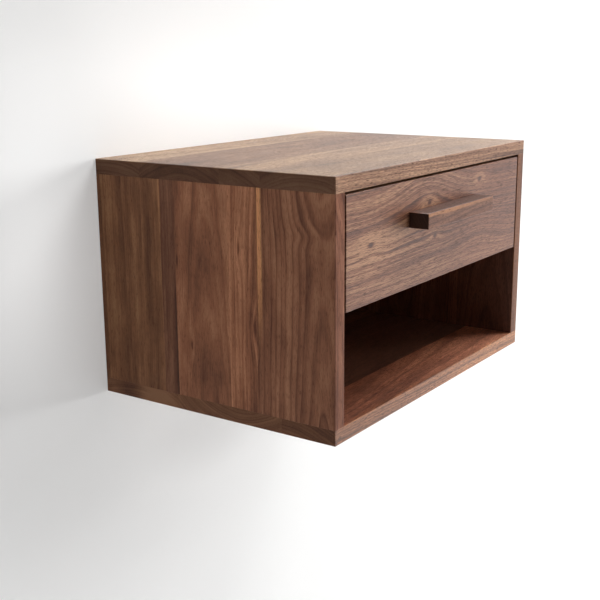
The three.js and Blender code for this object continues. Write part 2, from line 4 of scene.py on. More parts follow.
import bpy
from mathutils import Euler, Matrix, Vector

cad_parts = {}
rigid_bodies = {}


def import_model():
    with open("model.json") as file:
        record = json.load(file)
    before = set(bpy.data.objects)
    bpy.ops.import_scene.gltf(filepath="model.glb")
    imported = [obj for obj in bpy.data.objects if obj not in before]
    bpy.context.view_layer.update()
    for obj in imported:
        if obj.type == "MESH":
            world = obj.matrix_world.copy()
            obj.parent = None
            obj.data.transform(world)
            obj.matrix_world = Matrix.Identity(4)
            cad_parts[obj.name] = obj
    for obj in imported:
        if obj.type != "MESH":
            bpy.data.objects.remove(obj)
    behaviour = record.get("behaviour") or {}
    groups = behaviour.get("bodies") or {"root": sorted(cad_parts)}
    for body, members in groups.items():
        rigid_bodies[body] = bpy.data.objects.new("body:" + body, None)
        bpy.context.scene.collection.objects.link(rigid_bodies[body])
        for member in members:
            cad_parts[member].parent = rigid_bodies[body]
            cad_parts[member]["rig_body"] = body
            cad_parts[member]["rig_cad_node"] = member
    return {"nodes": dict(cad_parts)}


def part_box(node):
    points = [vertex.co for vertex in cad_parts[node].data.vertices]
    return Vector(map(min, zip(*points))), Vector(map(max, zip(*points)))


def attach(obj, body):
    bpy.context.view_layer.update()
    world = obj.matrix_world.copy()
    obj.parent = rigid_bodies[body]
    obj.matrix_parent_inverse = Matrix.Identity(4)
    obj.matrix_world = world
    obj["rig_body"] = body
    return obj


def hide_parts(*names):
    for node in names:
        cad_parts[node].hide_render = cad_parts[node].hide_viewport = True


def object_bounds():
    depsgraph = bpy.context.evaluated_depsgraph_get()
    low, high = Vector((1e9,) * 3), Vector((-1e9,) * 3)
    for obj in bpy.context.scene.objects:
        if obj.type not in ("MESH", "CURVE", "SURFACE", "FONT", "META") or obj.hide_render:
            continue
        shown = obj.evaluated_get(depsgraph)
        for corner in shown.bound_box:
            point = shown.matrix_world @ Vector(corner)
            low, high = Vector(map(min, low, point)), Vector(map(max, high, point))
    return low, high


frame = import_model()
nodes = frame["nodes"]
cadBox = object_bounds()
bpy.ops.object.select_all(action="DESELECT")
print("frame loaded:", len(nodes), "nodes")

cameraSettings = {
    "place": (-1.1657, -0.9387, 0.2453),  # metres, in the row frame
    "turn": (76.194, 0.387, -55.472),  # degrees
    "lens": 61.48,  # millimetres, as the sensor
    "sensor": 36,
}


def placeCamera(settings):
    bpy.ops.object.camera_add(location=settings["place"])
    camera = bpy.context.object
    camera.name = "camera"
    camera.rotation_euler = Euler([radians(angle) for angle in settings["turn"]])
    camera.data.lens = settings["lens"]
    camera.data.sensor_width = settings["sensor"]
    bpy.context.scene.camera = camera


placeCamera(cameraSettings)
bpy.context.scene.view_settings.view_transform = "Standard"


# in node trees, a value is a number, a colour or another node's socket
def feed(tree, socket, value):
    if isinstance(value, bpy.types.NodeSocket):
        tree.links.new(value, socket)
    elif value is not None:
        socket.default_value = value


def addNode(tree, kind, inputs=None, **settings):
    node = tree.nodes.new("ShaderNode" + kind)
    for name, value in settings.items():
        setattr(node, name, value)
    for name, value in (inputs or {}).items():
        feed(tree, node.inputs[name], value)
    return node


def calc(tree, operation, first, second=None, third=None, clamp=False):
    inputs = {0: first, 1: second, 2: third}
    return addNode(tree, "Math", inputs, operation=operation, use_clamp=clamp).outputs[0]


def vectorCalc(tree, operation, first, second=None):
    return addNode(tree, "VectorMath", {0: first, 1: second}, operation=operation).outputs[0]


def scaleVector(tree, vector, size):
    inputs = {0: vector, "Scale": size}
    return addNode(tree, "VectorMath", inputs, operation="SCALE").outputs[0]


def lengthOf(tree, vector):
    return addNode(tree, "VectorMath", {0: vector}, operation="LENGTH").outputs["Value"]


def combine(tree, *parts):
    return addNode(tree, "CombineXYZ", dict(enumerate(parts))).outputs[0]


def separate(tree, vector):
    return addNode(tree, "SeparateXYZ", {0: vector}).outputs


def blend(tree, share, first, second, way="MIX"):
    inputs = {0: share, 6: first, 7: second}
    node = addNode(tree, "Mix", inputs, data_type="RGBA", blend_type=way, clamp_factor=True)
    return node.outputs[2]


def stain(tree, colour, by):
    return blend(tree, 1.0, colour, by, "MULTIPLY")


def smoothStep(tree, value, low, high):
    inputs = {"Value": value, "From Min": low, "From Max": high}
    return addNode(tree, "MapRange", inputs, interpolation_type="SMOOTHSTEP").outputs[0]


def noise(tree, vector, detail=1.0, roughness=0.5, output="Fac"):
    inputs = {"Vector": vector, "Scale": 1.0, "Detail": detail, "Roughness": roughness}
    return addNode(tree, "TexNoise", inputs).outputs[output]


def ramp(tree, factor, stops, interpolation="LINEAR"):
    node = addNode(tree, "ValToRGB", {"Fac": factor})
    node.color_ramp.interpolation = interpolation
    points = node.color_ramp.elements
    while len(points) < len(stops):
        points.new(0.5)
    for point, (place, colour) in zip(points, stops):
        point.position = place
        point.color = (*colour, 1.0)
    return node.outputs[0]


def newGroup(name, inputs, outputs):
    group = bpy.data.node_groups.new(name, "ShaderNodeTree")
    for label, kind, value in inputs:
        socket = group.interface.new_socket(label, in_out="INPUT", socket_type="NodeSocket" + kind)
        socket.default_value = value
    for label, kind in outputs:
        group.interface.new_socket(label, in_out="OUTPUT", socket_type="NodeSocket" + kind)
    given = group.nodes.new("NodeGroupInput").outputs
    result = group.nodes.new("NodeGroupOutput").inputs
    return group, given, result


def placeGroup(tree, group, inputs):
    node = tree.nodes.new("ShaderNodeGroup")
    node.node_tree = group
    for name, value in inputs.items():
        feed(tree, node.inputs[name], value)
    return node.outputs


def newMaterial(name):
    material = bpy.data.materials.new(name)
    material.use_nodes = True
    tree = material.node_tree
    return material, tree, tree.nodes["Principled BSDF"]


figureParts = ("Ring", "Streak", "Band", "Fibre", "Mottle")
# how fine the figure is, per metre: along, across and through the board
figureScales = {
    "own": (37, 53, 71),  # moves the pattern by the pith's place, so that two boards never match
    "seed": 61,  # the same for the streaks and bands, by the pith's depth
    "longWave": (3, 9, 9),
    "shortWave": (16, 60, 60),
    "fibre": (26, 900, 900),
    "mottle": (15, 38, 38),
    "streak": (1.4, 170),  # along the board, and across its rings
    "band": (2.2, 32),
    "ringWidths": 60,
}
# from one ring's start to the next: pale early wood that darkens into a thin late line
ringShades = [(0.0, 0.2), (0.12, 0.85), (0.5, 0.75), (0.75, 0.5), (0.93, 0.0), (1.0, 0.2)]
ringDepth = {"middle": 0.6, "least": 0.45, "spread": 0.55, "unevenness": 1.6}


# a board's own coordinates, in metres: X along the grain, Y across the board, Z through it
def makeFigureGroup(scales):
    group, given, result = newGroup(
        "board figure",
        [
            ("Position", "Vector", (0, 0, 0)),
            ("Pith", "Vector", (0, -0.05, 0)),  # across, through, and its slope along the board
            ("Ring Width", "Float", 0.004),
            ("Wobble", "Float", 0.012),
            ("Ripple", "Float", 0.0015),
            ("Shift", "Float", 0.0),
            ("Fineness", "Float", 1.0),
        ],
        [(label, "Float") for label in figureParts],
    )
    position, pith = given["Position"], given["Pith"]
    boardPlace = vectorCalc(group, "MULTIPLY", pith, scales["own"])

    def at(scale, place):
        return vectorCalc(group, "ADD", vectorCalc(group, "MULTIPLY", position, scale), place)

    def wave(scale, size):
        sway = noise(group, at(scale, boardPlace), output="Color")
        return scaleVector(group, vectorCalc(group, "SUBTRACT", sway, (0.5, 0.5, 0.5)), size)

    longWave = wave(scales["longWave"], given["Wobble"])
    shortWave = wave(scales["shortWave"], given["Ripple"])
    waves = vectorCalc(group, "ADD", longWave, shortWave)
    waved = separate(group, vectorCalc(group, "ADD", position, waves))
    centre = separate(group, pith)
    across = calc(group, "SUBTRACT", waved[1], centre[0])
    slope = calc(group, "MULTIPLY", waved[0], centre[2])
    through = calc(group, "ADD", calc(group, "SUBTRACT", waved[2], centre[1]), slope)
    squares = calc(group, "MULTIPLY", across, across)
    squares = calc(group, "ADD", squares, calc(group, "MULTIPLY", through, through))
    radius = calc(group, "ADD", calc(group, "SQRT", squares), given["Shift"])

    # rings of uneven width, each with its own depth of colour
    inputs = {"W": radius, "Scale": scales["ringWidths"], "Detail": 1.0}
    uneven = addNode(group, "TexNoise", inputs, noise_dimensions="1D").outputs["Fac"]
    rings = calc(group, "DIVIDE", radius, given["Ring Width"])
    rings = calc(group, "MULTIPLY_ADD", uneven, ringDepth["unevenness"], rings)
    inputs = {"W": calc(group, "FLOOR", rings)}
    chance = addNode(group, "TexWhiteNoise", inputs, noise_dimensions="1D").outputs["Value"]
    depth = calc(group, "MULTIPLY_ADD", chance, ringDepth["spread"], ringDepth["least"])
    stops = [(place, (grey,) * 3) for place, grey in ringShades]
    shade = ramp(group, calc(group, "FRACT", rings), stops)
    shade = calc(group, "SUBTRACT", shade, ringDepth["middle"])
    ring = calc(group, "MULTIPLY_ADD", shade, depth, ringDepth["middle"])
    group.links.new(ring, result["Ring"])

    # colour follows the rings, while fibres run straight and differ from one ring to the next
    lengthwise = separate(group, position)[0]
    seed = calc(group, "MULTIPLY", centre[1], scales["seed"])

    def ringNoise(along, acrossRings, detail, roughness):
        first = calc(group, "MULTIPLY", lengthwise, along)
        second = calc(group, "MULTIPLY", radius, acrossRings)
        return noise(group, combine(group, first, second, seed), detail, roughness)

    along, acrossRings = scales["streak"]
    acrossRings = calc(group, "MULTIPLY", given["Fineness"], acrossRings)
    group.links.new(ringNoise(along, acrossRings, 4.0, 0.65), result["Streak"])
    group.links.new(ringNoise(*scales["band"], 1.0, 0.5), result["Band"])
    group.links.new(noise(group, at(scales["fibre"], chance), 2.0, 0.6), result["Fibre"])
    group.links.new(noise(group, at(scales["mottle"], chance), 3.0, 0.6), result["Mottle"])
    return group


# how high the noise must stand to be a pore: less where a ring starts, and where pores are many
poreEdge = {"start": 0.70, "atRings": -0.05, "withAmount": -0.1, "softness": 0.08}


def makePoreGroup(threshold):
    group, given, result = newGroup(
        "open pores",
        [
            ("Position", "Vector", (0, 0, 0)),
            ("Length", "Float", 0.009),
            ("Width", "Float", 0.0007),
            ("Amount", "Float", 0.5),
            ("Ring", "Float", 0.5),
        ],
        [("Mask", "Float")],
    )
    along = calc(group, "DIVIDE", 1.0, given["Length"])
    across = calc(group, "DIVIDE", 1.0, given["Width"])
    scale = combine(group, along, across, across)
    dots = noise(group, vectorCalc(group, "MULTIPLY", given["Position"], scale), 0.0)
    low = calc(group, "MULTIPLY_ADD", given["Ring"], threshold["atRings"], threshold["start"])
    low = calc(group, "MULTIPLY_ADD", given["Amount"], threshold["withAmount"], low)
    high = calc(group, "ADD", low, threshold["softness"])
    group.links.new(smoothStep(group, dots, low, high), result["Mask"])
    return group


# how fast a knot fades outwards: its push on the rings, its dark core and the hole in its glow
knotFading = {"push": 1.0, "core": 14.0, "glowHole": 5.0}


def makeKnotGroup(speeds):
    group, given, result = newGroup(
        "pin knot",
        [
            ("Position", "Vector", (0, 0, 0)),
            ("Centre", "Vector", (0, 0, 0)),
            ("Size", "Vector", (0.02, 0.008, 0.03)),
            ("Push", "Float", 0.006),
            ("Core", "Float", 0.6),
        ],
        [("Shift", "Float"), ("Dark", "Float"), ("Glow", "Float")],
    )
    offset = vectorCalc(group, "SUBTRACT", given["Position"], given["Centre"])
    distance = lengthOf(group, vectorCalc(group, "DIVIDE", offset, given["Size"]))
    squared = calc(group, "MULTIPLY", distance, distance)

    def fading(speed):
        return calc(group, "EXPONENT", calc(group, "MULTIPLY", squared, -speed))

    bell, core = fading(speeds["push"]), fading(speeds["core"])
    glow = calc(group, "SUBTRACT", bell, fading(speeds["glowHole"]), clamp=True)
    group.links.new(calc(group, "MULTIPLY", bell, given["Push"]), result["Shift"])
    group.links.new(calc(group, "MULTIPLY", core, given["Core"]), result["Dark"])
    group.links.new(glow, result["Glow"])
    return group


boardFinish = {
    "endCalm": 0.25,  # how much fainter the figure is on end grain
    "sapwoodFibre": (0.8, 0.6),  # its contrast, and its level
    "fibreHeight": 0.25,  # beside a pore's depth of 1
    "roughness": 0.45,
    "roughnessBy": {"Streak": -0.1, "Pores": 0.25, "End": 0.15},
    "bumpHeight": 0.00008,  # metres
    "bumpStrength": 0.6,
    "endFilm": 0.1,  # the share of the film that stays on end grain
    "shader": {"Coat IOR": 1.6, "Coat Roughness": 0.42, "Specular IOR Level": 0.1},
}


def makeToneGroup(finish):
    group, given, result = newGroup(
        "board colour",
        [
            *[(label, "Float", 0.5) for label in figureParts],
            ("Pores", "Float", 0.0),
            ("Lift", "Float", 0.0),
            ("End", "Float", 0.0),
            ("Calm", "Float", 0.0),
            ("Sapwood", "Float", 0.0),
            ("Ring Contrast", "Float", 0.35),
            ("Streak Contrast", "Float", 0.9),
            ("Band Contrast", "Float", 0.8),
            ("Fibre Contrast", "Float", 0.3),
            ("Mottle Contrast", "Float", 0.4),
            ("Dark", "Color", (0.11, 0.05, 0.03, 1)),
            ("Middle", "Color", (0.23, 0.11, 0.06, 1)),
            ("Light", "Color", (0.34, 0.18, 0.11, 1)),
            ("Tint", "Color", (1, 1, 1, 1)),
            ("Sapwood Colour", "Color", (0.74, 0.34, 0.15, 1)),
            ("Pore Colour", "Color", (0.35, 0.3, 0.28, 1)),
            ("End Colour", "Color", (0.5, 0.5, 0.5, 1)),
        ],
        [("Color", "Color"), ("Height", "Float"), ("Roughness", "Float")],
    )
    tone = calc(group, "ADD", given["Lift"], 0.5)
    lively = calc(group, "SUBTRACT", 1.0, given["Calm"])
    lively = calc(group, "MULTIPLY_ADD", given["End"], -finish["endCalm"], lively)
    for name in figureParts:
        centred = calc(group, "MULTIPLY", calc(group, "SUBTRACT", given[name], 0.5), lively)
        tone = calc(group, "MULTIPLY_ADD", centred, given[name + " Contrast"], tone)
    # below half, the tone runs from dark to middle, and above it from middle to light
    low = calc(group, "MULTIPLY", tone, 2.0, clamp=True)
    high = calc(group, "MULTIPLY_ADD", tone, 2.0, -1.0, clamp=True)
    colour = blend(group, low, given["Dark"], given["Middle"])
    colour = blend(group, high, colour, given["Light"])
    ends = stain(group, colour, given["End Colour"])
    # the tint is the wood's own colour, and on some boards also painted light and shade
    colour = stain(group, colour, given["Tint"])
    fibre = calc(group, "MULTIPLY_ADD", given["Fibre"], *finish["sapwoodFibre"])
    sapwood = blend(group, fibre, (0, 0, 0, 1), given["Sapwood Colour"])
    colour = blend(group, given["Sapwood"], colour, sapwood)
    colour = blend(group, given["Pores"], colour, stain(group, colour, given["Pore Colour"]))
    colour = blend(group, given["End"], colour, ends)
    group.links.new(colour, result["Color"])
    height = calc(group, "MULTIPLY", given["Pores"], -1.0)
    height = calc(group, "MULTIPLY_ADD", given["Fibre"], finish["fibreHeight"], height)
    group.links.new(height, result["Height"])
    rough = finish["roughness"]
    for name, share in finish["roughnessBy"].items():
        rough = calc(group, "MULTIPLY_ADD", given[name], share, rough)
    group.links.new(rough, result["Roughness"])
    return group


figureGroup = makeFigureGroup(figureScales)
poreGroup = makePoreGroup(poreEdge)
knotGroup = makeKnotGroup(knotFading)
toneGroup = makeToneGroup(boardFinish)

walnut = {
    "Dark": (0.085, 0.036, 0.022, 1),
    "Middle": (0.235, 0.108, 0.062, 1),
    "Light": (0.40, 0.21, 0.125, 1),
    "Pore Colour": (0.45, 0.40, 0.38, 1),
    "End Colour": (0.5, 0.52, 0.55, 1),
    "Ring Contrast": 0.5,
    "Streak Contrast": 1.5,
    "Band Contrast": 1.3,
    "Fibre Contrast": 0.55,
    "Mottle Contrast": 0.7,
}
# what a board has unless its own settings say otherwise
plainBoard = {
    "ringWidth": 0.004,
    "wobble": 0.01,
    "ripple": 0.002,
    "fineness": 1.0,
    "film": 0.8,
    "calmEdges": 0.0,
    "pores": {},
    "knots": [],
    "sapwood": [],
    "tone": {},
}
plainPores = {"Length": 0.0055, "Width": 0.0004, "Amount": 0.8}
sapwoodEdge = {"scale": (12, 120, 120), "raggedness": 0.9, "start": 0.08, "fade": 0.6}
facingRange = (0.5, 0.9)  # a normal's part along an axis, from not facing it to facing it


# the staves of a board, glued edge to edge, and how each one's grain lies and looks
def readStaves(tree, wood, board, across):
    low, high = board["across"]
    inputs = {"Value": across, "From Min": low, "From Max": high}
    factor = addNode(tree, "MapRange", inputs).outputs[0]
    grain = (board["ringWidth"], wood["Ring Contrast"], wood["Streak Contrast"])
    staves = [{"tintAndPaintedLight": (1, 1, 1), "grain": grain, **stave} for stave in board["staves"]]

    # a ramp holds no number below zero and few places of a small one, so they are lifted and scaled
    def perStave(key, scale=(1, 1, 1), lift=0.0):
        stops = []
        for stave in staves:
            numbers = [number * size + lift for number, size in zip(stave[key], scale)]
            stops.append(((stave["at"] - low) / (high - low), numbers))
        return ramp(tree, factor, stops, "CONSTANT")

    pith = vectorCalc(tree, "SUBTRACT", perStave("pith", lift=0.5), (0.5, 0.5, 0.5))
    grain = vectorCalc(tree, "MULTIPLY", perStave("grain", (100, 0.5, 0.5)), (0.01, 2, 2))
    return pith, separate(tree, grain), perStave("tintAndPaintedLight")


# how far knots push the rings out, and how much lighter or darker they leave the wood
def addKnots(tree, knots, position):
    shift, dark, lift = 0.0, 0.0, 0.0
    for knot in knots:
        found = placeGroup(tree, knotGroup, {"Position": position, **knot["group"]})
        shift = calc(tree, "ADD", shift, found["Shift"])
        dark = calc(tree, "ADD", dark, found["Dark"])
        lift = calc(tree, "MULTIPLY_ADD", found["Glow"], knot["glow"], lift)
    return shift, calc(tree, "SUBTRACT", lift, dark)


# sapwood left along one edge of a stave, ragged on its inner side
def addSapwood(tree, streaks, position, parts):
    total = 0.0
    for streak in streaks:
        ragged = noise(tree, vectorCalc(tree, "MULTIPLY", position, sapwoodEdge["scale"]), 2.0)
        ragged = calc(tree, "SUBTRACT", ragged, 0.5)
        inside = calc(tree, "SUBTRACT", parts[1], streak["edge"])
        inside = calc(tree, "DIVIDE", inside, streak["width"])
        ragged = calc(tree, "MULTIPLY_ADD", ragged, sapwoodEdge["raggedness"], inside)
        starting = smoothStep(tree, inside, 0.0, sapwoodEdge["start"])
        ending = smoothStep(tree, ragged, 1.0, sapwoodEdge["fade"])
        mask = calc(tree, "MULTIPLY", starting, ending)
        mask = calc(tree, "MULTIPLY", mask, smoothStep(tree, parts[0], *streak["along"]))
        total = calc(tree, "MULTIPLY_ADD", mask, streak["strength"], total)
    return total


def facing(tree, normal):
    return smoothStep(tree, calc(tree, "ABSOLUTE", normal), *facingRange)


# how much fainter the figure is, along the board and on its long edges
def calmShare(tree, board, parts, normals):
    calm = calc(tree, "MULTIPLY", facing(tree, normals[1]), board["calmEdges"])
    if "calm" in board:
        along = smoothStep(tree, parts[0], *board["calm"]["along"])
        calm = calc(tree, "MAXIMUM", calm, calc(tree, "MULTIPLY", along, board["calm"]["share"]))
    return calm


plyLook = {
    "flecks": (260, 5),  # per metre along an edge, and per ply through it
    "fleckShare": 0.5,
    "glueWidth": 0.06,  # shares of a ply
    "glueShare": 0.7,
}


# on a sheet's edges, plies of long and of end grain take turns, with a dark glue line between
def plyEdges(tree, plies, faceColour, parts, normals):
    depth = calc(tree, "SUBTRACT", parts[2], plies["start"])
    depth = calc(tree, "DIVIDE", depth, plies["thickness"])
    perMetre, perPly = plyLook["flecks"]
    grain = [calc(tree, "MULTIPLY", part, perMetre) for part in (parts[0], parts[1])]
    fleck = noise(tree, combine(tree, *grain, calc(tree, "MULTIPLY", depth, perPly)), 2.0)
    crossing = calc(tree, "FRACT", calc(tree, "MULTIPLY", depth, 0.5))
    crossing = calc(tree, "GREATER_THAN", crossing, 0.5)
    colour = blend(tree, crossing, plies["long"], plies["end"])
    fleck = calc(tree, "MULTIPLY", fleck, plyLook["fleckShare"])
    colour = blend(tree, fleck, colour, plies["fleck"])
    glue = calc(tree, "LESS_THAN", calc(tree, "PINGPONG", depth, 0.5), plyLook["glueWidth"])
    colour = blend(tree, calc(tree, "MULTIPLY", glue, plyLook["glueShare"]), colour, plies["glue"])
    onEdge = smoothStep(tree, calc(tree, "ABSOLUTE", normals[2]), *reversed(facingRange))
    return blend(tree, onEdge, faceColour, colour)


def boardMaterial(name, wood, settings):
    board = {**plainBoard, **settings}
    material, tree, shader = newMaterial(name)
    coordinates = addNode(tree, "TexCoord").outputs
    parts = separate(tree, coordinates["Object"])
    normals = separate(tree, coordinates["Normal"])
    parts = [parts[letter] for letter in board["axes"]]  # along, across, through
    normals = [normals[letter] for letter in board["axes"]]
    position = combine(tree, *parts)

    pith, grain, tintAndPaintedLight = readStaves(tree, wood, board, parts[1])
    shift, lift = addKnots(tree, board["knots"], position)
    figure = placeGroup(tree, figureGroup, {
        "Position": position,
        "Pith": pith,
        "Ring Width": grain[0],
        "Wobble": board["wobble"],
        "Ripple": board["ripple"],
        "Fineness": board["fineness"],
        "Shift": shift,
    })
    pores = {"Position": position, "Ring": figure["Ring"], **plainPores, **board["pores"]}
    end = facing(tree, normals[0])
    tone = placeGroup(tree, toneGroup, {
        **{label: figure[label] for label in figureParts},
        "Pores": placeGroup(tree, poreGroup, pores)["Mask"],
        "Lift": lift,
        "End": end,
        "Calm": calmShare(tree, board, parts, normals),
        "Sapwood": addSapwood(tree, board["sapwood"], position, parts),
        "Tint": tintAndPaintedLight,
        **wood,
        "Ring Contrast": grain[1],
        "Streak Contrast": grain[2],
        **board["tone"],
    })
    colour = tone["Color"]
    if "plies" in board:
        colour = plyEdges(tree, board["plies"], colour, parts, normals)

    film, endFilm = board["film"], board["film"] * boardFinish["endFilm"]
    bump = {
        "Height": tone["Height"],
        "Distance": boardFinish["bumpHeight"],
        "Strength": boardFinish["bumpStrength"],
    }
    feed(tree, shader.inputs["Base Color"], colour)
    feed(tree, shader.inputs["Roughness"], tone["Roughness"])
    feed(tree, shader.inputs["Normal"], addNode(tree, "Bump", bump).outputs[0])
    coat = calc(tree, "MULTIPLY_ADD", end, endFilm - film, film)
    feed(tree, shader.inputs["Coat Weight"], coat)
    for label, value in boardFinish["shader"].items():
        shader.inputs[label].default_value = value
    return material


def paint(material, *names):
    for name in names:
        for slot in nodes[name].material_slots:
            slot.material = material


# places on the case and the drawer front are inches from the case's left, front and lower faces
inch = 0.0254
left, front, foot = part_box("bottom_panel")[0]
frontEdge = 0.0006 / inch  # a case board's first stave is only its front edge


def fromLeft(inches):
    return left + inches * inch


def fromFront(inches):
    return front + inches * inch


def fromFoot(inches):
    return foot + inches * inch


def heights(name):
    return [corner[2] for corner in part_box(name)]


# a case board's stave: its start behind the front, and its pith's place across, through and slope
# its grain is its ring width in metres, its ring contrast and its streak contrast
# its tint is the stave's own colour, and on the top, bottom and right side boards also painted
# light and shade
def caseStave(start, pith, tintAndPaintedLight, **grain):
    return {"at": fromFront(start), "pith": (fromFront(pith[0]), *pith[1:]), "tintAndPaintedLight": tintAndPaintedLight, **grain}


# a knot, or a dark patch, or, with a core below zero, a light one
def makeKnot(centre, size, push=0.0, core=0.0, glow=0.0):
    return {"group": {"Centre": centre, "Size": size, "Push": push, "Core": core}, "glow": glow}


def sideKnot(up, back, *look):
    return makeKnot((fromFoot(up), fromFront(back), left), *look)


leftSide = {
    "axes": "ZYX",
    "across": (front, 0.0),
    "wobble": 0.008,
    "ripple": 0.0034,
    "film": 0.08,
    "staves": [
        caseStave(0, (1.15, -0.226, 0.0), (0.99, 0.84, 0.84), grain=(0.0052, 0.5, 1.3)),
        caseStave(frontEdge, (0.6, -0.222, -0.07), (1.03, 0.89, 0.82), grain=(0.007, 0.7, 1.2)),
        caseStave(4.17, (9.5, -0.28, 0.0), (1.46, 1.26, 1.13), grain=(0.005, 0.3, 2.3)),
        caseStave(5.8, (7.14, -0.219, -0.06), (1.36, 1.19, 1.08), grain=(0.007, 0.2, 1.2)),
        caseStave(9.0, (3.0, -0.22, 0.02), (0.75, 0.66, 0.63), grain=(0.004, 0.2, 1.5)),
        caseStave(9.86, (16.0, -0.27, 0.03), (0.92, 0.85, 0.7), grain=(0.009, 0.2, 1.1)),
    ],
    "knots": [
        sideKnot(12.0, 0.6, (0.07, 0.08, 1.0), -0.02),
        sideKnot(9.3, 1.6, (0.01, 0.02, 1.0), 0.005),
        sideKnot(8.43, 5.21, (0.03, 0.006, 0.03), 0.006, 0.7),
        sideKnot(4.86, 4.35, (0.028, 0.008, 0.03), 0.008, 0.5),
        sideKnot(7.5, 8.93, (0.02, 0.005, 0.03), 0.005, 0.6),
        sideKnot(3.43, 8.14, (0.02, 0.006, 0.03), 0.005, 0.6),
        sideKnot(9.0, 8.3, (0.3, 0.11, 1.0), 0.0, 0.3),
        sideKnot(2.0, 13.5, (0.15, 0.12, 1.0), 0.0, 0.2),
    ],
    "sapwood": [
        {
            "edge": fromFront(4.17),
            "width": -0.0078,
            "along": (fromFoot(3.0), fromFoot(8.5)),
            "strength": 1.0,
        },
        {
            "edge": fromFront(9.86),
            "width": 0.004,
            "along": (fromFoot(7.5), fromFoot(10.8)),
            "strength": 0.28,
        },
    ],
    "pores": {"Length": 0.007, "Width": 0.00032, "Amount": 0.35},
    "tone": {"End Colour": (0.5, 0.48, 0.46, 1), "Mottle Contrast": 1.1},
}
paint(boardMaterial("walnut left side", walnut, leftSide), "left_side_panel")

rightSide = {
    "axes": "ZYX",
    "film": 0.5,
    "across": (front, 0.0),
    # the right side's tints darken it below the wood's colour: partly painted shade on the cubby's
    # inner wall
    "staves": [
        caseStave(0, (1.6, 0.15, 0.05), (0.84, 0.62, 0.38)),
        caseStave(frontEdge, (1.6, 0.15, 0.05), (0.56, 0.49, 0.52)),
        caseStave(3.55, (8.5, 0.27, 0.02), (0.8, 0.7, 0.72)),
        caseStave(4.4, (7.6, 0.19, -0.05), (0.52, 0.45, 0.48)),
        caseStave(8.6, (12.0, 0.2, 0.03), (0.62, 0.54, 0.57)),
        caseStave(11.4, (10.0, 0.24, 0.0), (0.55, 0.48, 0.51)),
    ],
}
paint(boardMaterial("walnut right side", walnut, rightSide), "right_side_panel")

quietGrain = (0.005, 0.35, 1.1)
widePores = {"Length": 0.008, "Width": 0.00045, "Amount": 1.2}
topBoards = {
    "axes": "XYZ",
    "across": (front, 0.0),
    "film": 0.43,
    # the top's tints are partly its staves' colour and partly painted light: the pale grey front
    # edge is a painted highlight, the pale grey back stave a painted reflection of the wall
    "staves": [
        caseStave(0, (1.5, -0.02, 0.02), (1.45, 1.6, 1.65), grain=(0.003, 0.5, 2.8)),
        caseStave(frontEdge, (1.5, -0.02, 0.02), (1.03, 1.12, 0.83), grain=quietGrain),
        caseStave(3.9, (7.5, -0.03, 0.02), (1.32, 1.52, 1.25), grain=quietGrain),
        caseStave(6.2, (8.6, 0.0, 0.03), (0.8, 0.77, 0.58), grain=quietGrain),
        caseStave(11.1, (13.5, -0.04, -0.02), (1.55, 1.95, 1.85), grain=quietGrain),
    ],
    "pores": widePores,
    "tone": {
        "End Colour": (0.5, 0.5, 0.49, 1),
        "Pore Colour": (0.36, 0.31, 0.29, 1),
        "Fibre Contrast": 0.8,
    },
}
paint(boardMaterial("walnut top", walnut, topBoards), "top_panel")

bottomMiddle = sum(heights("bottom_panel")) / 2
bottomBoards = {
    "axes": "XYZ",
    "across": (front, 0.0),
    # the bottom's tints are partly its staves' colour and partly painted light and shade: the
    # bright front edge and front strip are painted lit, the dark strip behind them is painted shade
    "staves": [
        caseStave(0, (3.2, -0.36, 0.03), (1.95, 1.72, 1.28), grain=(0.003, 0.5, 2.2)),
        caseStave(frontEdge, (3.2, -0.36, 0.03), (1.9, 1.55, 1.5)),
        caseStave(2.9, (5.4, -0.08, -0.03), (0.54, 0.46, 0.5)),
        caseStave(9.14, (12.0, -0.34, 0.02), (0.85, 0.75, 0.7)),
    ],
    "knots": [
        makeKnot((left, fromFront(12.4), bottomMiddle), (0.1, 0.07, 1.0), 0.0, 0.45),
        makeKnot((left, fromFront(10.5), bottomMiddle), (0.1, 0.1, 1.0), 0.0, -0.6),
    ],
    "pores": widePores,
    "tone": {
        "End Colour": (0.7, 0.65, 0.58, 1),
        "Pore Colour": (0.32, 0.27, 0.25, 1),
        "Fibre Contrast": 0.8,
    },
}
paint(boardMaterial("walnut bottom", walnut, bottomBoards), "bottom_panel")


def drawerKnot(right, up, *look):
    return makeKnot((fromLeft(right), fromFoot(up), front), *look)


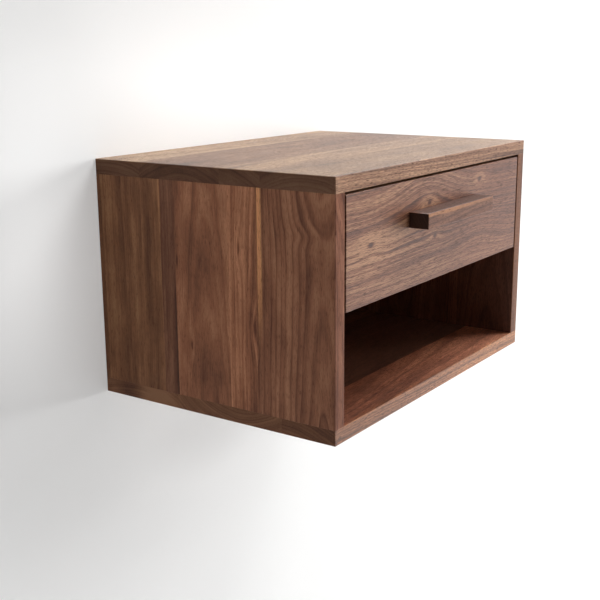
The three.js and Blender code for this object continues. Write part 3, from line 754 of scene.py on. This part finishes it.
drawerLow, drawerHigh = heights("drawer_front")
drawerBoard = {
    "axes": "XZY",
    "across": (drawerLow, drawerHigh),
    "wobble": 0.008,
    "ripple": 0.0025,
    "fineness": 1.9,
    "calmEdges": 0.6,
    "calm": {"along": (fromLeft(6.5), fromLeft(14.0)), "share": 0.35},
    "film": 0.72,
    "staves": [
        {
            "at": drawerLow,
            "pith": (0.17, -0.30, 0.03),
            "tintAndPaintedLight": (1.12, 1.0, 0.97),
            "grain": (0.0034, 0.35, 3.0),
        },
    ],
    "knots": [
        drawerKnot(2.93, 8.64, (0.024, 0.013, 0.03), 0.007, 1.0, 1.0),
        drawerKnot(8.5, 9.89, (0.022, 0.011, 0.03), 0.006, 1.1, 0.8),
        drawerKnot(14.14, 10.43, (0.018, 0.010, 0.03), 0.004, 0.9, 0.5),
        drawerKnot(9.14, 8.14, (0.018, 0.009, 0.03), 0.004, 0.9, 0.4),
        drawerKnot(14.3, 7.7, (0.07, 0.025, 0.03), 0.011),
        drawerKnot(8.2, 11.0, (0.085, 0.055, 0.03), 0.02),
        drawerKnot(18.5, 9.0, (0.7, 0.7, 1.0), 0.0, 0.11),
        drawerKnot(2.0, 9.0, (0.6, 0.6, 1.0), 0.0, -0.06),
    ],
    "pores": {"Length": 0.010, "Width": 0.00042, "Amount": 1.15},
    "tone": {
        "Dark": (0.10, 0.047, 0.036, 1),
        "Light": (0.44, 0.26, 0.153, 1),
        "Pore Colour": (0.42, 0.36, 0.34, 1),
        "Band Contrast": 1.0,
    },
}
paint(boardMaterial("walnut drawer front", walnut, drawerBoard), "drawer_front")

handleLow, handleHigh = heights("bar_handle")
handleStave = {"at": handleLow, "pith": (0.02, -0.33, 0.04), "tintAndPaintedLight": (0.9, 0.82, 0.83)}
# the skin is a thin dark top layer of painted shade on the handle's top face, which the drawer
# front shades; the edge is where the sapwood starts
handleTop = {"paintedShadeSkin": 0.00015, "edge": 0.00045, "tintAndPaintedLight": (0.3, 0.24, 0.24)}  # metres under the top
handleBar = {
    "axes": "XZY",
    "across": (handleLow, handleHigh),
    "film": 0.5,
    "staves": [
        handleStave,
        # painted shade on the handle's top face
        {**handleStave, "at": handleHigh - handleTop["paintedShadeSkin"], "tintAndPaintedLight": handleTop["tintAndPaintedLight"]},
    ],
    "sapwood": [
        {
            "edge": handleHigh - handleTop["edge"],
            "width": -0.0048,
            "along": (0.17, -0.02),
            "strength": 0.48,
        },
    ],
    # the handle's very dark end colour is partly its end grain and partly painted shade on its end
    # faces
    "tone": {"End Colour": (0.12, 0.1, 0.1, 1)},
}
paint(boardMaterial("walnut handle", walnut, handleBar), "bar_handle")

mergeSettings = {"apart": 0.000005, "flat": 0.01}  # metres, and radians
bevelSettings = {"segments": 2, "limit_method": "ANGLE", "angle_limit": 1.0}


def makeMergedCopy(name):
    bpy.ops.object.select_all(action="DESELECT")
    nodes[name].select_set(True)
    bpy.context.view_layer.objects.active = nodes[name]
    bpy.ops.object.duplicate()
    piece = bpy.context.object
    piece.name = "smooth_" + name
    del piece["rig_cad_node"]
    bpy.ops.object.mode_set(mode="EDIT")
    bpy.ops.mesh.select_all(action="SELECT")
    bpy.ops.mesh.remove_doubles(threshold=mergeSettings["apart"])
    bpy.ops.mesh.dissolve_limited(angle_limit=mergeSettings["flat"])
    bpy.ops.mesh.select_all(action="DESELECT")
    bpy.ops.object.mode_set(mode="OBJECT")
    return piece


def applyModifier(piece, kind, **settings):
    modifier = piece.modifiers.new(kind.lower(), kind)
    for name, value in settings.items():
        setattr(modifier, name, value)
    bpy.ops.object.modifier_apply(modifier=modifier.name)


# the copy's triangles are merged, so that its rounded edges and curves shade smoothly:
# faces up to the angle apart shade as one, and large flat faces stay flat
def makeSmoothCopy(name, slot, angle, ease=0.0, finish=None):
    piece = makeMergedCopy(name)
    if finish:
        piece.data.materials.clear()
        piece.data.materials.append(finish)
    if ease:
        applyModifier(piece, "BEVEL", width=ease, **bevelSettings)
    bpy.ops.object.shade_smooth_by_angle(angle=angle)
    applyModifier(piece, "WEIGHTED_NORMAL", keep_sharp=True)
    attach(piece, nodes[name]["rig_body"])
    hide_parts(name)


caseBoards = ("top_panel", "bottom_panel", "left_side_panel", "right_side_panel")
roundedEdges = {"slot": "walnut", "angle": 0.7}
for name in (*caseBoards, "drawer_front", "bar_handle"):
    makeSmoothCopy(name, **roundedEdges)
print("walnut boards ready")

maple = {
    "Dark": (0.47, 0.28, 0.13, 1),
    "Middle": (0.60, 0.40, 0.205, 1),
    "Light": (0.70, 0.50, 0.28, 1),
    "Pore Colour": (0.86, 0.80, 0.74, 1),
    "End Colour": (0.72, 0.64, 0.55, 1),
    "Ring Contrast": 0.22,
    "Streak Contrast": 0.4,
    "Band Contrast": 0.4,
    "Fibre Contrast": 0.3,
}
boxWalls = {
    "drawer_box_front": {"axes": "XZY", "pith": (0.26, -0.26, 0.01)},
    "drawer_box_back": {"axes": "XZY", "pith": (-0.18, -0.10, -0.02)},
    "drawer_box_left": {"axes": "YZX", "pith": (0.25, -0.30, 0.01)},
    "drawer_box_right": {"axes": "YZX", "pith": (-0.2, 0.31, 0.008)},
}
for name, wall in boxWalls.items():
    low, high = heights(name)
    board = {
        "axes": wall["axes"],
        "across": (low, high),
        "staves": [{"at": low, "pith": wall["pith"], "grain": (0.0028, 0.22, 0.4)}],
        "pores": {"Length": 0.003, "Width": 0.0004, "Amount": 0.5},
        "calmEdges": 0.6,
        "film": 0.6,
    }
    paint(boardMaterial("maple " + name.replace("_", " "), maple, board), name)

beech = {
    "Dark": (0.36, 0.19, 0.09, 1),
    "Middle": (0.48, 0.275, 0.125, 1),
    "Light": (0.56, 0.34, 0.17, 1),
    "Pore Colour": (0.55, 0.42, 0.32, 1),
    "End Colour": (0.75, 0.68, 0.6, 1),
    "Ring Contrast": 0.3,
    "Streak Contrast": 0.5,
    "Band Contrast": 0.4,
    "Fibre Contrast": 0.4,
}
tenonBoard = {
    "axes": "ZYX",
    "across": (front, 0.0),
    "staves": [{"at": front, "pith": (-0.1, 0.1, 0.03), "grain": (0.0022, 0.3, 0.5)}],
    "pores": {"Length": 0.002, "Width": 0.0005, "Amount": 1.2},
    "film": 0.05,
}
tenonNames = [name for name in nodes if name.endswith("_tenon")]
paint(boardMaterial("bare beech", beech, tenonBoard), *tenonNames)
print("drawer box and tenons ready")

birch = {
    "Dark": (0.49, 0.31, 0.172, 1),
    "Middle": (0.66, 0.475, 0.29, 1),
    "Light": (0.76, 0.585, 0.39, 1),
    "Pore Colour": (0.82, 0.74, 0.66, 1),
    "End Colour": (0.8, 0.72, 0.62, 1),
    "Ring Contrast": 0.45,
    "Streak Contrast": 0.5,
    "Band Contrast": 0.7,
    "Fibre Contrast": 0.3,
}
plyColours = {
    "long": (0.62, 0.44, 0.25, 1),
    "end": (0.36, 0.21, 0.105, 1),
    "fleck": (0.30, 0.17, 0.08, 1),
    "glue": (0.12, 0.055, 0.028, 1),
}
cleat = {"wood": birch, "axes": "XZY", "plies": 13, "film": 0.3, "tintAndPaintedLight": (1, 1, 1)}
sheets = {
    "drawer_bottom": {
        "wood": birch,
        "axes": "XYZ",
        "plies": 5,
        "pith": (-0.2, -0.05, 0.05),
        "film": 0.5,
        "tintAndPaintedLight": (1, 1, 1),
    },
    "case_cleat": {**cleat, "pith": (0.05, -0.08, 0.05)},
    "wall_cleat": {**cleat, "pith": (0.02, 0.07, -0.04)},
    "back_panel": {
        "wood": walnut,
        "axes": "XZY",
        "plies": 5,
        "pith": (-0.05, -0.07, 0.04),
        "film": 0.5,
        "tintAndPaintedLight": (1.2, 1.12, 1.12),
    },
}
sheetGrain = (0.006, 0.4, 0.6)
for name, sheet in sheets.items():
    low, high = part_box(name)
    across, through = ("XYZ".index(letter) for letter in sheet["axes"][1:])
    veneer = {"pith": sheet["pith"], "tintAndPaintedLight": sheet["tintAndPaintedLight"], "grain": sheetGrain}
    thickness = (high[through] - low[through]) / sheet["plies"]
    board = {
        "axes": sheet["axes"],
        "across": (low[across], high[across]),
        "staves": [{"at": low[across], **veneer}],
        "pores": {"Length": 0.004, "Width": 0.0004, "Amount": 0.5},
        "wobble": 0.02,
        "film": sheet["film"],
        "plies": {**plyColours, "start": low[through], "thickness": thickness},
    }
    paint(boardMaterial("ply " + name.replace("_", " "), sheet["wood"], board), name)
print("plywood ready")

# how much of the finish is rolling lines and how much is clouds, and how crisp each is
steelLook = {
    "lines": (0.3, 0.7),
    "lineShare": 0.45,
    "clouds": (0.35, 0.65),
    "cloudShare": 0.55,
    "polish": -0.12,
    "bumpHeight": 0.00002,
    "bumpStrength": 0.4,
}


def makeSteelGroup(look):
    group, given, result = newGroup(
        "rolled steel",
        [
            ("Position", "Vector", (0, 0, 0)),
            ("Grain", "Vector", (40, 900, 900)),
            ("Cloud Size", "Float", 90.0),
            ("Dull", "Color", (0.5, 0.5, 0.5, 1)),
            ("Bright", "Color", (0.7, 0.7, 0.7, 1)),
            ("Roughness", "Float", 0.35),
        ],
        [("Color", "Color"), ("Roughness", "Float"), ("Height", "Float")],
    )
    position = given["Position"]
    lines = noise(group, vectorCalc(group, "MULTIPLY", position, given["Grain"]), 2.0)
    clouds = noise(group, scaleVector(group, position, given["Cloud Size"]), 3.0)
    share = calc(group, "MULTIPLY", smoothStep(group, clouds, *look["clouds"]), look["cloudShare"])
    crisp = smoothStep(group, lines, *look["lines"])
    share = calc(group, "MULTIPLY_ADD", crisp, look["lineShare"], share)
    group.links.new(blend(group, share, given["Dull"], given["Bright"]), result["Color"])
    rough = calc(group, "SUBTRACT", share, 0.5)
    rough = calc(group, "MULTIPLY_ADD", rough, look["polish"], given["Roughness"])
    group.links.new(rough, result["Roughness"])
    group.links.new(lines, result["Height"])
    return group


steelGroup = makeSteelGroup(steelLook)


def steelMaterial(name, settings):
    material, tree, shader = newMaterial(name)
    position = addNode(tree, "TexCoord").outputs["Object"]
    steel = placeGroup(tree, steelGroup, {"Position": position, **settings})
    bump = {
        "Height": steel["Height"],
        "Distance": steelLook["bumpHeight"],
        "Strength": steelLook["bumpStrength"],
    }
    shader.inputs["Metallic"].default_value = 1.0
    feed(tree, shader.inputs["Base Color"], steel["Color"])
    feed(tree, shader.inputs["Roughness"], steel["Roughness"])
    feed(tree, shader.inputs["Normal"], addNode(tree, "Bump", bump).outputs[0])
    return material


leverPlastic = {
    "colour": (0.013, 0.013, 0.014, 1),
    "worn": (0.03, 0.03, 0.031, 1),
    "wear": (0.4, 0.8),  # the noise between these turns from the colour to the worn one
    "roughness": 0.5,
    "grainRoughness": 0.15,
    "grainSize": 0.0003,
    "bumpHeight": 0.00003,
    "bumpStrength": 0.5,
}


def plasticMaterial(name, settings):
    material, tree, shader = newMaterial(name)
    position = addNode(tree, "TexCoord").outputs["Object"]
    grain = noise(tree, vectorCalc(tree, "DIVIDE", position, (settings["grainSize"],) * 3), 2.0)
    wear = smoothStep(tree, grain, *settings["wear"])
    colour = blend(tree, wear, settings["colour"], settings["worn"])
    rough = calc(tree, "MULTIPLY_ADD", grain, settings["grainRoughness"], settings["roughness"])
    bump = {
        "Height": grain,
        "Distance": settings["bumpHeight"],
        "Strength": settings["bumpStrength"],
    }
    feed(tree, shader.inputs["Base Color"], colour)
    feed(tree, shader.inputs["Roughness"], rough)
    feed(tree, shader.inputs["Normal"], addNode(tree, "Bump", bump).outputs[0])
    return material


zincStrip = {
    "Grain": (900, 18, 900),
    "Cloud Size": 140.0,
    "Dull": (0.36, 0.375, 0.39, 1),
    "Bright": (0.52, 0.535, 0.55, 1),
    "Roughness": 0.38,
}
brightStrip = {
    "Grain": (1200, 25, 1200),
    "Cloud Size": 200.0,
    "Dull": (0.25, 0.26, 0.27, 1),
    "Bright": (0.42, 0.43, 0.44, 1),
    "Roughness": 0.3,
}
yellowSteel = {
    "Grain": (700, 700, 700),
    "Cloud Size": 420.0,
    "Dull": (0.60, 0.40, 0.20, 1),
    "Bright": (0.74, 0.66, 0.34, 1),
    "Roughness": 0.27,
}
# a finish, a slot, the angle up to which faces shade as one, and eased edges in metres
# the first kind that a name holds counts, so that a rail's screw is a screw
hardware = {
    "screw": {
        "finish": steelMaterial("yellow passivated steel", yellowSteel),
        "slot": "screw_steel",
        "angle": 0.7,
        "ease": 0.0001,
    },
    "cage": {
        "finish": steelMaterial("bright strip and balls", brightStrip),
        "slot": "cage_steel",
        "angle": 1.2,
        "ease": 0.0,
    },
    "lever": {
        "finish": plasticMaterial("black moulded plastic", leverPlastic),
        "slot": "lever_plastic",
        "angle": 0.6,
        "ease": 0.0002,
    },
    "rail": {
        "finish": steelMaterial("zinc plated strip", zincStrip),
        "slot": "zinc_steel",
        "angle": 0.6,
        "ease": 0.00012,
    },
}
for name in sorted(nodes):
    kind = next((kind for kind in hardware if kind in name.split("_")), None)
    if kind:
        makeSmoothCopy(name, **hardware[kind])
print("slides and screws ready")

stageSettings = {
    "wallReach": 3.0,  # metres to each side
    "wallTop": 1.2,
    "floorDrop": 1.1,
    "floorDepth": 3.0,
    "holeInset": 0.002,  # metres by which the wall's hole is smaller than the case, on each side
    # radians: there the wall shares a plane with the case's back, so that its last digits show
    "wallTurn": 1.5707963,
    "glow": 0.3,  # what the camera and reflections see of wall and floor without any lamp
    "wallColour": (0.70, 0.70, 0.695, 1),
    "floorColour": (0.66, 0.66, 0.655, 1),
    "shader": {
        "Roughness": 0.9,
        "Specular IOR Level": 0.1,
        "Emission Color": (1, 1, 1, 1),
    },
    "pools": [
        {"centre": (-0.37, 0, 0.02), "reach": (0.16, 1, 0.32), "strength": 0.2},
        {"centre": (-0.14, 0, 0.19), "reach": (0.28, 1, 0.16), "strength": 0.14},
        {"centre": (-0.42, 0, 0.33), "reach": (0.35, 1, 0.28), "strength": -0.1},
        {"centre": (-0.25, 0, -0.37), "reach": (0.42, 1, 0.20), "strength": -0.1},
        {"centre": (0.08, 0, 0.19), "reach": (0.28, 1, 0.20), "strength": 0.12},
        {"centre": (-0.02, 0, -0.31), "reach": (0.20, 1, 0.09), "strength": -0.12},
    ],
}


# 1 for the rays that look at the surroundings, 0 for the rays that carry their light
def seenRays(tree):
    rays = addNode(tree, "LightPath").outputs
    mirrored = calc(tree, "ADD", rays["Is Glossy Ray"], rays["Is Transmission Ray"])
    return calc(tree, "ADD", rays["Is Camera Ray"], mirrored, clamp=True)


# soft pools of light and shade on the wall, as an uneven room gives
def wallPools(tree, pools):
    position = addNode(tree, "TexCoord").outputs["Object"]
    total = 0.0
    for pool in pools:
        offset = vectorCalc(tree, "SUBTRACT", position, pool["centre"])
        distance = lengthOf(tree, vectorCalc(tree, "DIVIDE", offset, pool["reach"]))
        inside = smoothStep(tree, distance, 1.0, 0.0)
        total = calc(tree, "MULTIPLY_ADD", inside, pool["strength"], total)
    return total


def flatMaterial(name, colour, settings, pools=()):
    material, tree, shader = newMaterial(name)
    shader.inputs["Base Color"].default_value = colour
    for label, value in settings["shader"].items():
        shader.inputs[label].default_value = value
    glow = calc(tree, "ADD", wallPools(tree, pools), settings["glow"])
    glow = calc(tree, "MULTIPLY", seenRays(tree), glow)
    feed(tree, shader.inputs["Emission Strength"], glow)
    return material, tree, shader


# a camera behind the wall looks through it
def openBack(tree, shader):
    clear = addNode(tree, "BsdfTransparent").outputs[0]
    behind = addNode(tree, "NewGeometry").outputs["Backfacing"]
    share = calc(tree, "MULTIPLY", behind, addNode(tree, "LightPath").outputs["Is Camera Ray"])
    mixed = addNode(tree, "MixShader", {0: share, 1: shader.outputs[0], 2: clear}).outputs[0]
    tree.links.new(mixed, tree.nodes["Material Output"].inputs["Surface"])


def makeSheet(name, size, place, turn, material):
    bpy.ops.mesh.primitive_plane_add(size=1, location=place, rotation=turn)
    sheet = bpy.context.object
    sheet.name = name
    sheet.scale = (*size, 1)
    sheet.data.materials.append(material)
    bpy.ops.object.transform_apply()


def makeStage(settings):
    reach, top = settings["wallReach"], settings["wallTop"]
    drop, depth = settings["floorDrop"], settings["floorDepth"]
    floorPaint = flatMaterial("pale floor", settings["floorColour"], settings)[0]
    makeSheet("pale_floor", (2 * reach, depth), (0, -depth / 2, -drop), (0, 0, 0), floorPaint)

    # the wall is four strips round the case's back, which stays open to be looked at
    wall = flatMaterial("pale wall", settings["wallColour"], settings, settings["pools"])
    wallPaint, tree, shader = wall
    openBack(tree, shader)
    inset = Vector([settings["holeInset"]] * 3)
    low, high = cadBox[0] + inset, cadBox[1] - inset
    strips = [
        (-reach, low.x, -drop, top),
        (high.x, reach, -drop, top),
        (low.x, high.x, -drop, low.z),
        (low.x, high.x, high.z, top),
    ]
    turn = (settings["wallTurn"], 0, 0)
    for number, (fromX, toX, fromZ, toZ) in enumerate(strips):
        size = (toX - fromX, toZ - fromZ)
        middle = ((fromX + toX) / 2, 0, (fromZ + toZ) / 2)
        makeSheet(f"pale_wall_{number}", size, middle, turn, wallPaint)


makeStage(stageSettings)

# metres and watts, and each lamp looks at the frame's origin
lampSettings = [
    {
        "name": "window",
        "place": (5.0, -3.1, 0.4),
        "size": (2.6, 2.6),
        "power": 335,
        "mirrored": False,
    },
    {"name": "ceiling", "place": (1.6, -0.7, 2.6), "size": (2.0, 1.6), "power": 112},
    {"name": "left", "place": (-2.9, -0.26, -0.3), "size": (0.45, 2.2), "power": 13.3},
    {"name": "behind", "place": (0.0, 2.2, 0.7), "size": (2.0, 1.6), "power": 18},
]


def makeLamps(settings):
    for lamp in settings:
        bpy.ops.object.light_add(type="AREA", location=lamp["place"])
        light = bpy.context.object
        light.name = lamp["name"]
        light.rotation_euler = Vector(lamp["place"]).to_track_quat("Z", "Y").to_euler()
        light.data.shape = "RECTANGLE"
        light.data.size, light.data.size_y = lamp["size"]
        light.data.energy = lamp["power"]
        light.visible_glossy = lamp.get("mirrored", True)


# what the camera and reflections see is brighter than what lights the scene
surroundings = {"colour": (1, 1, 1, 1), "seen": 1.0, "fill": 0.03}


def makeSurroundings(settings):
    world = bpy.data.worlds.new("white studio")
    bpy.context.scene.world = world
    world.use_nodes = True
    tree = world.node_tree
    background = tree.nodes["Background"]
    background.inputs["Color"].default_value = settings["colour"]
    extra = settings["seen"] - settings["fill"]
    strength = calc(tree, "MULTIPLY_ADD", seenRays(tree), extra, settings["fill"])
    feed(tree, background.inputs["Strength"], strength)


makeLamps(lampSettings)
makeSurroundings(surroundings)
print("stage and light ready")
